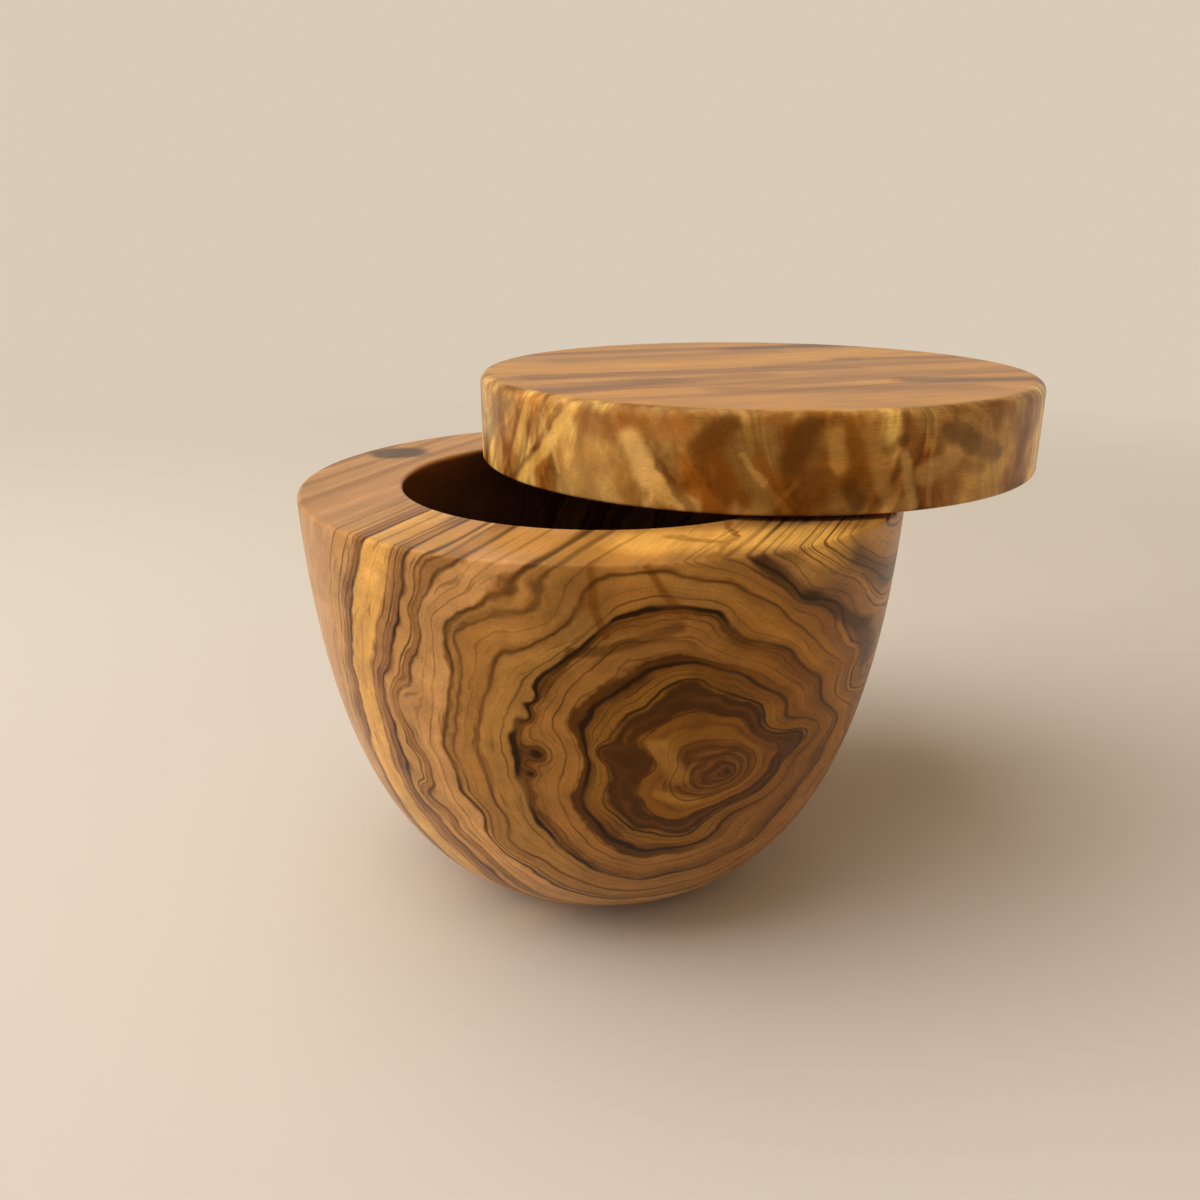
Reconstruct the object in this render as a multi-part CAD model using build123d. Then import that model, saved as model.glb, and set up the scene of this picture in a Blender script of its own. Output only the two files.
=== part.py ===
from build123d import *

import math
import os

# Salt cellar: a thick turned wooden bowl, and a wooden lid that swivels sideways on a pin in the rim.
# Millimetres. +Z is up, the origin is the centre of the bowl's foot, and the pivot stands on +Y.

# Bowl: its rim, its foot, and the outline between them
rim_radius = 55.0
bowl_height = 77.5
foot_radius = 21.0
side_lean = 2.0        # degrees off upright at which the side leaves the rim
side_pull = 31.5       # how far the side keeps to that direction
foot_rise = 17.5       # degrees above the table at which the side leaves the foot
foot_pull = 28.5       # how far the side keeps to that direction
rim_edge_bevel = 0.4
mouth_edge_bevel = 0.5
foot_edge_round = 1.2

# Salt cavity: an upright wall over a bowl-shaped floor
rim_wall = 18.4
floor_thickness = 17.5
upright_wall_depth = 25.0
floor_fullness = 0.55  # of the way to a square corner; 0.55 draws a quarter of an ellipse

# Lid: a flat disc as wide as the rim, carried just clear of it
lid_thickness = 16.5
lid_gap = 0.85
lid_top_round = 2.0
lid_under_bevel = 0.4
lid_open = 49.3        # degrees that the lid is swung from closed

# Pivot: a steel pin pressed into the lid, turning in a brass bush pressed into the rim
pin_radius = 3.0
pin_in_lid = 11.0
pin_chamfer = 0.6
bush_wall = 1.5
bush_length = 22.0
bush_chamfer = 0.3
washer_width = 4.0     # from the pin outwards

# Fits, all on the radius
press_squeeze = 0.01
pin_running_gap = 0.04
washer_gap = 0.10
pin_end_gap = 1.0      # under the pin, so that its end never grounds in the bore

# Worked out from the sizes above
mouth_radius = rim_radius - rim_wall
pivot_radius = rim_radius - rim_wall / 2
lid_radius = rim_radius
lid_underside = bowl_height + lid_gap
bush_bore_radius = pin_radius + pin_running_gap
bush_radius = bush_bore_radius + bush_wall
pin_foot = bowl_height - bush_length + pin_end_gap
pivot_axis = Axis((0, pivot_radius, 0), (0, 0, 1))


def at_pivot(height):
    """The place on the pivot's axis at a height above the table."""
    return Pos(0, pivot_radius, height)


def upright(radius, bottom, top):
    """A cylinder standing on the pivot's axis between two heights."""
    centred = (Align.CENTER, Align.CENTER, Align.MIN)
    return at_pivot(bottom) * Cylinder(radius, top - bottom, align=centred)


def turned(outline):
    """A solid of revolution about the bowl's axis, from a closed outline drawn in the XZ plane."""
    return revolve(make_face(outline), Axis.Z)


def edges_at(solid, radius, height):
    """The round edges of one radius at one height, centred on the bowl's axis."""
    found = solid.edges().filter_by(GeomType.CIRCLE)
    near = [e for e in found if abs(e.radius - radius) < 1e-3 and abs(e.center().Z - height) < 1e-3]
    return ShapeList(near)


def make_bowl():
    """The outside is one curve from rim to foot, and the inside is an upright wall and a rounded floor."""
    rim = Vector(rim_radius, 0, bowl_height)
    foot = Vector(foot_radius, 0, 0)
    lean = math.radians(side_lean)
    rise = math.radians(foot_rise)
    below_rim = rim - Vector(math.sin(lean), 0, math.cos(lean)) * side_pull
    beside_foot = foot + Vector(math.cos(rise), 0, math.sin(rise)) * foot_pull
    outline = [
        Line((0, 0, 0), foot),
        Bezier(foot, beside_foot, below_rim, rim),
        Line(rim, (0, 0, bowl_height)),
        Line((0, 0, bowl_height), (0, 0, 0)),
    ]
    block = turned(outline)

    wall_foot = Vector(mouth_radius, 0, bowl_height - upright_wall_depth)
    floor = Vector(0, 0, floor_thickness)
    below_wall = wall_foot - Vector(0, 0, wall_foot.Z - floor.Z) * floor_fullness
    beside_floor = floor + Vector(mouth_radius, 0, 0) * floor_fullness
    hollow = [
        Line(floor, (0, 0, bowl_height)),
        Line((0, 0, bowl_height), (mouth_radius, 0, bowl_height)),
        Line((mouth_radius, 0, bowl_height), wall_foot),
        Bezier(wall_foot, below_wall, beside_floor, floor),
    ]
    bowl = block - turned(hollow)
    bowl = chamfer(edges_at(bowl, rim_radius, bowl_height), rim_edge_bevel)
    bowl = chamfer(edges_at(bowl, mouth_radius, bowl_height), mouth_edge_bevel)
    bowl = fillet(edges_at(bowl, foot_radius, 0), foot_edge_round)
    bush_seat = upright(bush_radius - press_squeeze, bowl_height - bush_length, bowl_height)
    return bowl - bush_seat


def make_lid():
    """Drawn closed over the bowl, with a blind hole for the pin in its underside."""
    disc = Pos(0, 0, lid_underside + lid_thickness / 2) * Cylinder(lid_radius, lid_thickness)
    disc = fillet(edges_at(disc, lid_radius, lid_underside + lid_thickness), lid_top_round)
    disc = chamfer(edges_at(disc, lid_radius, lid_underside), lid_under_bevel)
    return disc - upright(pin_radius - press_squeeze, lid_underside, lid_underside + pin_in_lid)


def make_pivot_pin():
    pin = upright(pin_radius, pin_foot, lid_underside + pin_in_lid)
    return chamfer(pin.edges().filter_by(GeomType.CIRCLE), pin_chamfer)


def make_pivot_bush():
    """A plain sleeve, pressed in until it is level with the rim."""
    sleeve = upright(bush_radius, bowl_height - bush_length, bowl_height)
    sleeve = chamfer(sleeve.edges().filter_by(GeomType.CIRCLE).group_by(Axis.Z)[0], bush_chamfer)
    return sleeve - upright(bush_bore_radius, bowl_height - bush_length, bowl_height)


def make_pivot_washer():
    """It lies on the rim round the pin and sets the gap under the lid."""
    disc = upright(pin_radius + washer_width, bowl_height, lid_underside)
    return disc - upright(pin_radius + washer_gap, bowl_height, lid_underside)


def swung(piece):
    """A piece of the lid, turned about the pivot from closed to where the lid stands open."""
    return piece.rotate(pivot_axis, lid_open)


pieces = {
    "bowl": make_bowl(),
    "pivot_bush": make_pivot_bush(),
    "pivot_washer": make_pivot_washer(),
    "pivot_pin": swung(make_pivot_pin()),
    "lid": swung(make_lid()),
}

os.makedirs("parts", exist_ok=True)
for name, piece in pieces.items():
    export_step(piece, f"parts/{name}.step")
    box = piece.bounding_box()
    print(name, "volume", round(piece.volume), "from", box.min, "to", box.max)
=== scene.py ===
# %% [markdown]
# A salt cellar turned from olive wood, dressed for the camera.
# The measured model of the piece is loaded first and never moved. Everything drawn here is in
# metres in that same frame: +Z is up, the origin is the centre of the foot, and the pivot of the
# lid stands on +Y. The sizes of the pieces are written in millimetres and turned to metres by one
# factor.

# %% Load the measured model
import math

import bmesh
import bpy
from mathutils import Matrix, Vector


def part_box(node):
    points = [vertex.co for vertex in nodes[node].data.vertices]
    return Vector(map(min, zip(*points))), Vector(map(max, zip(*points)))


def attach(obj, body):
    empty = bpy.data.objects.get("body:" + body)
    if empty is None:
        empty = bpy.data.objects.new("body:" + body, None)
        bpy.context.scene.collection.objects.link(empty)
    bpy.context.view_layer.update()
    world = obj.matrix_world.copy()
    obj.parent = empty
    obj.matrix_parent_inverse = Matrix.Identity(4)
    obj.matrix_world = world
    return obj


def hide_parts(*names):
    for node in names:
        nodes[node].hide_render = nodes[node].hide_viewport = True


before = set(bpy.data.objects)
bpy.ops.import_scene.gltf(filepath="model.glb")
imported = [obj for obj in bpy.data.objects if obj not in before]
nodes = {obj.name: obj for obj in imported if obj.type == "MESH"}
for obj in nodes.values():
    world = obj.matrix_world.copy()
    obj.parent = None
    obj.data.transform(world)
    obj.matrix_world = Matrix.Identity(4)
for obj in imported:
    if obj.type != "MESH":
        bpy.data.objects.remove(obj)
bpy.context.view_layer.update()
mm = 0.001
print("pieces of the model:", sorted(nodes))

# %% [markdown]
# The camera comes before anything else, because every later choice is judged through it.
# It stands a little to the left of the front, about twenty centimetres from the middle of the
# bowl, and looks down at nineteen degrees. Placing it by angle and distance round a target keeps
# the numbers readable: a photographer would describe it the same way.

# %% Camera
photo_width = 1200  # pixels, and as many high
focal_pixels = 1050
camera_azimuth = math.radians(-11.4)
camera_elevation = math.radians(19.27)
camera_distance = 204.4 * mm
camera_target = Vector((-0.2, 0.0, 53.15)) * mm

lens = bpy.data.cameras.new("camera")
lens.lens = lens.sensor_width * focal_pixels / photo_width
lens.clip_start = 5 * mm
camera = bpy.data.objects.new("camera", lens)
bpy.context.scene.collection.objects.link(camera)
towards_camera = Vector((math.cos(camera_elevation) * math.sin(camera_azimuth),
                         -math.cos(camera_elevation) * math.cos(camera_azimuth),
                         math.sin(camera_elevation)))
camera.location = camera_target + towards_camera * camera_distance
camera.rotation_euler = towards_camera.to_track_quat("Z", "Y").to_euler()
bpy.context.scene.camera = camera
bpy.context.scene.view_settings.view_transform = "Standard"
print("camera at", [round(c / mm, 1) for c in camera.location], "mm with a lens of", lens.lens)

# %% [markdown]
# A material is a graph of nodes. Adding a node, choosing its options and filling its sockets is
# the same few steps every time, so one small function does it for all of them. Its sockets are
# given by name, or in order where a node names them all alike.
# Colours are written as the hex values that a paint program shows. The shader works in linear
# light, so a second function turns one into the other.

# %% Helpers for every graph
def add(tree, kind, sockets=(), **options):
    """Adds one node, sets its options and fills its sockets with numbers or other nodes' results."""
    new = tree.nodes.new(kind)
    for option, value in options.items():
        setattr(new, option, value)
    named = sockets.items() if isinstance(sockets, dict) else enumerate(sockets)
    for key, value in named:
        socket = new.inputs[key]
        if isinstance(key, str):
            socket = next(s for s in new.inputs if s.enabled and s.name == key)
        if isinstance(value, bpy.types.Node):
            value = next(s for s in value.outputs if s.enabled)
        if isinstance(value, bpy.types.NodeSocket):
            tree.links.new(value, socket)
        else:
            socket.default_value = value
    return new


def linear(hex_colour):
    """The linear colour, with full alpha, of an sRGB hex value."""
    parts = [int(hex_colour[i:i + 2], 16) / 255 for i in (1, 3, 5)]
    return [c / 12.92 if c <= 0.04045 else ((c + 0.055) / 1.055) ** 2.4 for c in parts] + [1.0]


def material(name):
    """A new material with only a shader and an output, and its tree and shader."""
    new = bpy.data.materials.new(name)
    new.use_nodes = True
    tree = new.node_tree
    tree.nodes.clear()
    shader = add(tree, "ShaderNodeBsdfPrincipled")
    add(tree, "ShaderNodeOutputMaterial", {"Surface": shader})
    return new, tree, shader


print("mid grey in linear light:", round(linear("#808080")[0], 3))

# %% [markdown]
# A pale backdrop is only a colour, and no lamp is spent on it. The camera's rays show it, and so
# do the rays of gloss and of glass, so that polished things mirror the wall that stands behind
# them. The rays that light the object never see it.

# %% Rays that show the backdrop
def showing(tree, height_share=1.0):
    """One for the camera's rays, and for those of gloss and glass the share that is given."""
    ray = add(tree, "ShaderNodeLightPath").outputs
    shiny = add(tree, "ShaderNodeMath", (ray["Is Glossy Ray"], ray["Is Transmission Ray"]),
                operation="MAXIMUM")
    shiny = add(tree, "ShaderNodeMath", (shiny, height_share), operation="MULTIPLY")
    return add(tree, "ShaderNodeMath", (ray["Is Camera Ray"], shiny), operation="MAXIMUM")


wall_colour = "#D9CBB8"
print("the backdrop is", wall_colour)

# %% [markdown]
# The set is a wide pale floor and nothing else, and it isn't part of the object. Its material is
# matte limestone in one warm colour, so that the shadow of the bowl reads clearly. A photographer's
# paper sweep has no horizon. Here the far floor takes the colour of the wall instead, and near the
# bowl it is a lit surface like any other.

# %% Floor
floor_reach = 4.0  # metres each way
sweep_start = 0.16  # metres from the bowl's axis to where the floor begins to turn into wall
sweep_end = 0.75
floor_mesh = bpy.data.meshes.new("floor")
signs = ((-1, -1), (1, -1), (1, 1), (-1, 1))
floor_mesh.from_pydata([(x * floor_reach, y * floor_reach, 0) for x, y in signs], [], [(0, 1, 2, 3)])
floor = bpy.data.objects.new("floor", floor_mesh)
bpy.context.scene.collection.objects.link(floor)
limestone, tree, shader = material("matte limestone")
shader.inputs["Base Color"].default_value = linear("#DAD3C6")
shader.inputs["Roughness"].default_value = 0.85
place = add(tree, "ShaderNodeTexCoord").outputs["Object"]
reach = add(tree, "ShaderNodeVectorMath", (place,), operation="LENGTH")
far = add(tree, "ShaderNodeMapRange", interpolation_type="SMOOTHSTEP", sockets={
    "Value": reach, "From Min": sweep_start, "From Max": sweep_end})
share = add(tree, "ShaderNodeMath", (far, showing(tree)), operation="MULTIPLY")
wall = add(tree, "ShaderNodeEmission", {"Color": linear(wall_colour)})
sweep = add(tree, "ShaderNodeMixShader", (share, shader, wall))
tree.links.new(sweep.outputs[0], tree.nodes["Material Output"].inputs["Surface"])
floor_mesh.materials.append(limestone)
print("floor reaches", floor_reach, "m each way")

# %% [markdown]
# Soft studio light comes from two lamps on the left. The key is large and high and does the
# modelling. The window stands low and far out, and brightens the side that faces it. It is kept
# out of mirror reflections, because it would lie as a white glare on the lid in low side views.
# Both are large against the object, so shadows have wide soft edges.

# %% Lamps
lamp_aim = Vector((0, 0, 50)) * mm


def softbox(name, place, width, power, mirrored=True):
    """A square area lamp at a place in metres, aimed at the middle of the object."""
    data = bpy.data.lights.new(name, "AREA")
    data.shape = "SQUARE"
    data.size = width
    data.energy = power
    lamp = bpy.data.objects.new(name, data)
    lamp.location = place
    lamp.rotation_euler = (lamp.location - lamp_aim).to_track_quat("Z", "Y").to_euler()
    bpy.context.scene.collection.objects.link(lamp)
    lamp.visible_glossy = mirrored
    return lamp


lamps = [softbox("key", (-0.42, 0.02, 1.02), width=1.2, power=8.6),
         softbox("window", (-1.05, 0.05, 0.45), width=0.8, power=6.6, mirrored=False)]
print("lamps:", [lamp.name for lamp in lamps])

# %% [markdown]
# The world fills the shadows from everywhere with a dim, warm light, as the walls of a room do.
# The wall that the camera sees is brighter. Gloss mirrors that wall only up to where a real
# backdrop would end, and above it the dim room, so that the wood keeps its depth of colour.

# %% World
fill_colour = "#FFE3C4"
fill_strength = 0.4
wall_top_start = math.radians(8.0)  # above the horizon, where the backdrop begins to fade out
wall_top_end = math.radians(30.0)
world = bpy.data.worlds.new("studio")
world.use_nodes = True
bpy.context.scene.world = world
tree = world.node_tree
tree.nodes.clear()
room = add(tree, "ShaderNodeBackground", {"Color": linear(fill_colour), "Strength": fill_strength})
wall = add(tree, "ShaderNodeBackground", {"Color": linear(wall_colour), "Strength": 1.0})
direction = add(tree, "ShaderNodeTexCoord").outputs["Generated"]
height = add(tree, "ShaderNodeSeparateXYZ", {"Vector": direction}).outputs["Z"]
below_top = add(tree, "ShaderNodeMapRange", interpolation_type="SMOOTHSTEP", sockets={
    "Value": height, "From Min": math.sin(wall_top_end), "From Max": math.sin(wall_top_start)})
sky = add(tree, "ShaderNodeMixShader", (showing(tree, below_top), room, wall))
add(tree, "ShaderNodeOutputWorld", {"Surface": sky})
print("fill of", fill_strength, "and a wall of 1")

# %% [markdown]
# Bowl and lid both come off a lathe: a blank spins and a gouge follows a profile, so the shape is
# a flat outline turned about an axis. That is a rule, and Geometry Nodes can follow it exactly.
# The tree lays a grid, with a row for each point of the profile and a column for each step round,
# and then moves every grid point to its place on the circle. Merging the points that meet closes
# the seam and the two centres. Then a drill makes the one hole that isn't round the axis, with a
# Boolean, as a drill press would.

# %% The lathe, as a tree of geometry nodes
lathe = bpy.data.node_groups.new("lathe", "GeometryNodeTree")
for name, kind in (("Profile", "Geometry"), ("Axis", "Vector"), ("Steps round", "Int"),
                   ("Drill foot", "Vector"), ("Drill radius", "Float"), ("Drill length", "Float"),
                   ("Wood", "Material")):
    lathe.interface.new_socket(name, in_out="INPUT", socket_type="NodeSocket" + kind)
lathe.interface.new_socket("Turned", in_out="OUTPUT", socket_type="NodeSocketGeometry")
merge_distance = 0.002 * mm
drill_sides = 96

given = add(lathe, "NodeGroupInput").outputs
rows = add(lathe, "GeometryNodeAttributeDomainSize", {"Geometry": given["Profile"]})
columns = add(lathe, "ShaderNodeMath", (given["Steps round"], 1.0), operation="ADD")
grid = add(lathe, "GeometryNodeMeshGrid", {"Vertices X": columns, "Vertices Y": rows})
index = add(lathe, "GeometryNodeInputIndex")
row = add(lathe, "ShaderNodeMath", (index, rows), operation="FLOORED_MODULO")
column = add(lathe, "ShaderNodeMath", (index, rows), operation="DIVIDE")
column = add(lathe, "ShaderNodeMath", (column,), operation="FLOOR")
share = add(lathe, "ShaderNodeMath", (column, given["Steps round"]), operation="DIVIDE")
angle = add(lathe, "ShaderNodeMath", (share, math.tau), operation="MULTIPLY")
on_profile = add(lathe, "GeometryNodeSampleIndex", data_type="FLOAT_VECTOR", sockets={
    "Geometry": given["Profile"], "Value": add(lathe, "GeometryNodeInputPosition"), "Index": row})
spun = add(lathe, "ShaderNodeVectorRotate", rotation_type="Z_AXIS", sockets={
    "Vector": on_profile, "Angle": angle})
on_axis = add(lathe, "ShaderNodeVectorMath", (spun, given["Axis"]), operation="ADD")
skin = add(lathe, "GeometryNodeSetPosition", {"Geometry": grid, "Position": on_axis})
skin = add(lathe, "GeometryNodeMergeByDistance", {"Geometry": skin, "Distance": merge_distance})
print("the turning takes", len(lathe.nodes), "nodes")

# %% [markdown]
# The drill is a plain cylinder that stands on the foot of its hole. It is longer than the hole is
# deep, so that it starts outside the wood and leaves a clean mouth. The tree ends in real,
# realised geometry with its wood on it, because only that reaches the exported model.

# %% The lathe: drill and material
drill = add(lathe, "GeometryNodeMeshCylinder", {
    "Vertices": drill_sides, "Radius": given["Drill radius"], "Depth": given["Drill length"]})
half = add(lathe, "ShaderNodeMath", (given["Drill length"], 0.5), operation="MULTIPLY")
lift = add(lathe, "ShaderNodeCombineXYZ", {"Z": half})
middle = add(lathe, "ShaderNodeVectorMath", (given["Drill foot"], lift), operation="ADD")
drill = add(lathe, "GeometryNodeTransform", {"Geometry": drill, "Translation": middle})
bored = add(lathe, "GeometryNodeMeshBoolean", {"Mesh 1": skin, "Mesh 2": drill},
            operation="DIFFERENCE", solver="EXACT")
whole = add(lathe, "GeometryNodeRealizeInstances", {"Geometry": bored})
wooden = add(lathe, "GeometryNodeSetMaterial", {"Geometry": whole, "Material": given["Wood"]})
add(lathe, "NodeGroupOutput", {"Turned": wooden})
print("the lathe has", len(lathe.nodes), "nodes")

# %% [markdown]
# A profile is a chain of points in millimetres, drawn as radius and height. Three strokes are
# enough: a straight run, a round corner and a free curve. The straight run crowds its points at
# both ends. Smooth shading blends over the last gap before a corner, and a short gap keeps the
# flat of the rim looking flat.

# %% Strokes of a profile
def straight(start, end, steps=14):
    """Points on a straight run, close together at both ends."""
    shares = [(1 - math.cos(math.pi * i / steps)) / 2 for i in range(steps + 1)]
    return [start.lerp(end, share) for share in shares]


def corner(centre, radius, start_angle, end_angle, steps=6):
    """Points on an arc, between two angles in degrees from the outward direction."""
    angles = [start_angle + (end_angle - start_angle) * i / steps for i in range(steps + 1)]
    return [centre + Vector((math.cos(math.radians(a)), math.sin(math.radians(a)))) * radius
            for a in angles]


def curve(start, pull_start, pull_end, end, steps=56):
    """Points on a free curve that leaves one end and meets the other along its two pulls."""
    found = []
    for i in range(steps + 1):
        t = i / steps
        found.append(start * (1 - t) ** 3 + pull_start * (3 * t * (1 - t) ** 2)
                     + pull_end * (3 * t ** 2 * (1 - t)) + end * t ** 3)
    return found


print("a rounded corner of 90 degrees has", len(corner(Vector((0, 0)), 1, 0, 90)), "points")

# %% [markdown]
# A piece that will be used again has to be sound. Two numbers tell: a closed skin has no open
# edges, and a volume above zero says that its faces point outwards. The floor is a single flat
# face, which is what the opposite looks like.

# %% Measuring a skin
def measure(mesh):
    """Prints the volume of a mesh, its triangles, and how many edges don't join two faces."""
    skin = bmesh.new()
    skin.from_mesh(mesh)
    volume = skin.calc_volume(signed=True) / mm ** 3
    triangles = sum(len(face.verts) - 2 for face in skin.faces)
    open_edges = sum(len(edge.link_faces) != 2 for edge in skin.edges)
    print(mesh.name, "has a volume of", round(volume), "cubic mm,", triangles, "triangles and",
          open_edges, "open edges")
    skin.free()


measure(floor_mesh)

# %% [markdown]
# Turning a piece takes four moves. The profile becomes a chain of edges, the lathe is put on it
# as a modifier with its inputs filled by their identifiers, and the result is taken off as a
# plain mesh. Then the blank and its modifier go away, and the mesh is smoothed and measured.

# %% Turning a piece
steps_round = 288
least_gap = 0.005  # mm between two points of a profile, below which one of them is left out
sharp_angle = math.radians(40)


def turned(name, profile, axis, drill_foot, drill_radius, drill_length, wood):
    """Turns a profile on the lathe, and returns the piece as a plain mesh of its own."""
    kept = [profile[0]]
    for point in profile[1:]:
        if (point - kept[-1]).length > least_gap:
            kept.append(point)
    outline = bpy.data.meshes.new(name + " outline")
    chain = [(i, i + 1) for i in range(len(kept) - 1)]
    outline.from_pydata([(point.x * mm, 0, point.y * mm) for point in kept], chain, [])
    blank = bpy.data.objects.new(name + " blank", outline)
    bpy.context.scene.collection.objects.link(blank)
    turning = blank.modifiers.new("turning", "NODES")
    turning.node_group = lathe
    settings = {"Axis": axis, "Steps round": steps_round, "Drill foot": drill_foot,
                "Drill radius": drill_radius, "Drill length": drill_length, "Wood": wood}
    for socket in lathe.interface.items_tree:
        if socket.name in settings:
            turning[socket.identifier] = settings[socket.name]
    graph = bpy.context.evaluated_depsgraph_get()
    mesh = bpy.data.meshes.new_from_object(blank.evaluated_get(graph))
    blank.modifiers.remove(turning)
    bpy.data.objects.remove(blank)
    mesh.name = name
    mesh.shade_smooth()
    mesh.set_sharp_from_angle(angle=sharp_angle)
    piece = bpy.data.objects.new(name, mesh)
    bpy.context.scene.collection.objects.link(piece)
    measure(mesh)
    return piece


rim_radius = 55.0
print("one step round the rim is", round(math.tau * rim_radius / steps_round, 2), "mm")

# %% [markdown]
# Olive wood is dense and slow-grown. Its sapwood and heartwood are honey and tan, and dark pigment
# settles along some growth rings as thin, wandering, nearly black lines. Turned, sanded and
# oiled, it has a satin sheen.
# A picture wrapped round the bowl would stretch and would stop at the edges. Real grain runs
# through the block, so the colour is worked out in three dimensions: each point of the surface
# asks where it lies in the log. The same lines then cross the rim and go down inside, as they do
# on the real bowl.

# %% Where a point lies in the log
def in_mm(tree, centre=(0.0, 0.0, 0.0)):
    """Object coordinates in mm, counted from a place that is given in mm."""
    place = add(tree, "ShaderNodeTexCoord").outputs["Object"]
    return add(tree, "ShaderNodeMapping", vector_type="TEXTURE", sockets={
        "Vector": place, "Location": Vector(centre) * mm, "Scale": (mm, mm, mm)})


def log_frame(tree, heart, grain_azimuth, roll):
    """Object coordinates turned into the log's own, in mm: x and y across the grain, z along it."""
    azimuth = math.radians(grain_azimuth)
    along = Vector((-math.cos(azimuth), -math.sin(azimuth), 0))
    across = Vector((math.sin(azimuth), -math.cos(azimuth), 0))
    up = Vector((0, 0, 1))
    roll = math.radians(roll)
    x = across * math.cos(roll) + up * math.sin(roll)
    y = up * math.cos(roll) - across * math.sin(roll)
    turned_frame = in_mm(tree, heart)
    turned_frame.inputs["Rotation"].default_value = Matrix((x, y, along)).transposed().to_euler()
    return turned_frame


print("the log's own frame is in millimetres")

# %% [markdown]
# Wood never repeats, so most of its detail is soft noise. What makes it wood is that the noise
# is stretched: each patch is a few millimetres wide across the grain and many along it. The same
# noise serves as a shade, which lightens and darkens, and as a push, which makes rings wander.
# Soft noise seldom comes near 0 or 1, so a shade is graded from the range that it does fill.

# %% Figures stretched along the grain
figure_roughness = 0.55
usual_noise = (0.3, 0.7)


def figure(tree, log, across, along, seed=0.0, detail=2.0, result="Fac"):
    """A soft random figure with patches so many mm wide across the grain and long along it."""
    counted = add(tree, "ShaderNodeMapping", {
        "Vector": log, "Location": (seed, seed, seed), "Scale": (1 / across, 1 / across, 1 / along)})
    return add(tree, "ShaderNodeTexNoise", {
        "Vector": counted, "Scale": 1.0, "Detail": detail,
        "Roughness": figure_roughness}).outputs[result]


def graded(tree, log, across, along, seed, detail, noise=usual_noise, result=(0.0, 1.0)):
    """A figure brought from its range of noise to a range of results, and held at both ends."""
    return add(tree, "ShaderNodeMapRange", {
        "Value": figure(tree, log, across, along, seed, detail),
        "From Min": noise[0], "From Max": noise[1], "To Min": result[0], "To Max": result[1]})


def swayed(tree, log, across, along, reach, seed, detail, moved=None):
    """A place pushed about by a figure of the log, up to half its reach in mm each way."""
    push = figure(tree, log, across, along, seed, detail, "Color")
    centred = add(tree, "ShaderNodeVectorMath", (push, (0.5, 0.5, 0.5)), operation="SUBTRACT")
    start = log if moved is None else moved
    return add(tree, "ShaderNodeVectorMath", (centred, reach, start), operation="MULTIPLY_ADD")


print("the noise keeps", figure_roughness, "of its strength at each finer step")

# %% [markdown]
# Rings are long sleeves round the heart of a branch. The place across the branch gives the age
# of the ring there, counted in millimetres from the heart. Real rings are oval, lean to the side
# where the branch grew faster, and swell round whatever stood in their way. Swellings are put in
# as dents at chosen places, because a slow noise would never bend the right ring.

# %% Rings of the log
def ring_age(tree, log, flatness, lean):
    """The age of the ring at a place: its distance from the heart, in rings that are oval and lean."""
    oval = add(tree, "ShaderNodeVectorMath", (log, (1.0, flatness, 0.0)), operation="MULTIPLY")
    distance = add(tree, "ShaderNodeVectorMath", (oval,), operation="LENGTH")
    offset = add(tree, "ShaderNodeVectorMath", (log, lean), operation="DOT_PRODUCT")
    return add(tree, "ShaderNodeMath", (distance, offset), operation="ADD")


def dented(tree, log, age, dents):
    """Rings that swell or give way near some places: (across, up, reach, rise), all in mm."""
    flat = add(tree, "ShaderNodeVectorMath", (log, (1.0, 1.0, 0.0)), operation="MULTIPLY")
    for across, up, reach, rise in dents:
        distance = add(tree, "ShaderNodeVectorMath", (flat, (across, up, 0.0)), operation="DISTANCE")
        bump = add(tree, "ShaderNodeMapRange", interpolation_type="SMOOTHSTEP", sockets={
            "Value": distance, "From Min": reach, "From Max": 0.0, "To Max": rise})
        age = add(tree, "ShaderNodeMath", (age, bump), operation="ADD")
    return age


print("age is counted in millimetres from the heart")

# %% [markdown]
# The chart of rings is where the drawing of the bowl is made. It is written as a list of bands,
# each with the age where it ends and the colour of its wood, and a list of pigment lines, each
# with its age, its width and how dark it is. Pigment soaks along the fibres and doesn't keep to
# the ring that it came from. So the bands are read at an age of their own, the stain age, which
# wanders off from that of the lines.

# %% Reading a span of the chart
def paint(ramp, stops):
    """Puts (place, colour) stops on a colour ramp."""
    elements = ramp.color_ramp.elements
    while len(elements) < len(stops):
        elements.new(1.0)
    for element, (place, colour) in zip(elements, stops):
        element.position = min(max(place, 0.0), 1.0)
        element.color = colour


def read_span(tree, age, stain_age, start, end, bands, lines, blend):
    """The colour of the wood and the darkness of the lines, for the ages from start to end."""
    shares = [add(tree, "ShaderNodeMapRange", {"Value": value, "From Min": start, "From Max": end})
              for value in (stain_age, age)]
    tint, line = [add(tree, "ShaderNodeValToRGB", {"Fac": share}) for share in shares]
    stops = []
    band_start = start
    for band_end, colour in bands:
        if band_end > start and band_start < end:
            first = band_start + blend if stops else start
            stops += [((first - start) / (end - start), linear(colour)),
                      ((min(band_end, end) - blend - start) / (end - start), linear(colour))]
        band_start = band_end
    paint(tint, stops)
    marks = [(0.0, 0.0)]
    for middle, width, dark in lines:
        if start < middle < end:
            marks += [(middle - width, 0.0), (middle - width / 4, dark), (middle + width / 4, dark),
                      (middle + width, 0.0)]
    paint(line, [((place - start) / (end - start), (dark, dark, dark, 1)) for place, dark in marks])
    print("rings", start, "to", end, "mm:", len(stops), "stops of colour,", len(marks), "of line")
    return tint, line


print("a line takes four stops: two for its soft edges and two for its middle")

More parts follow.
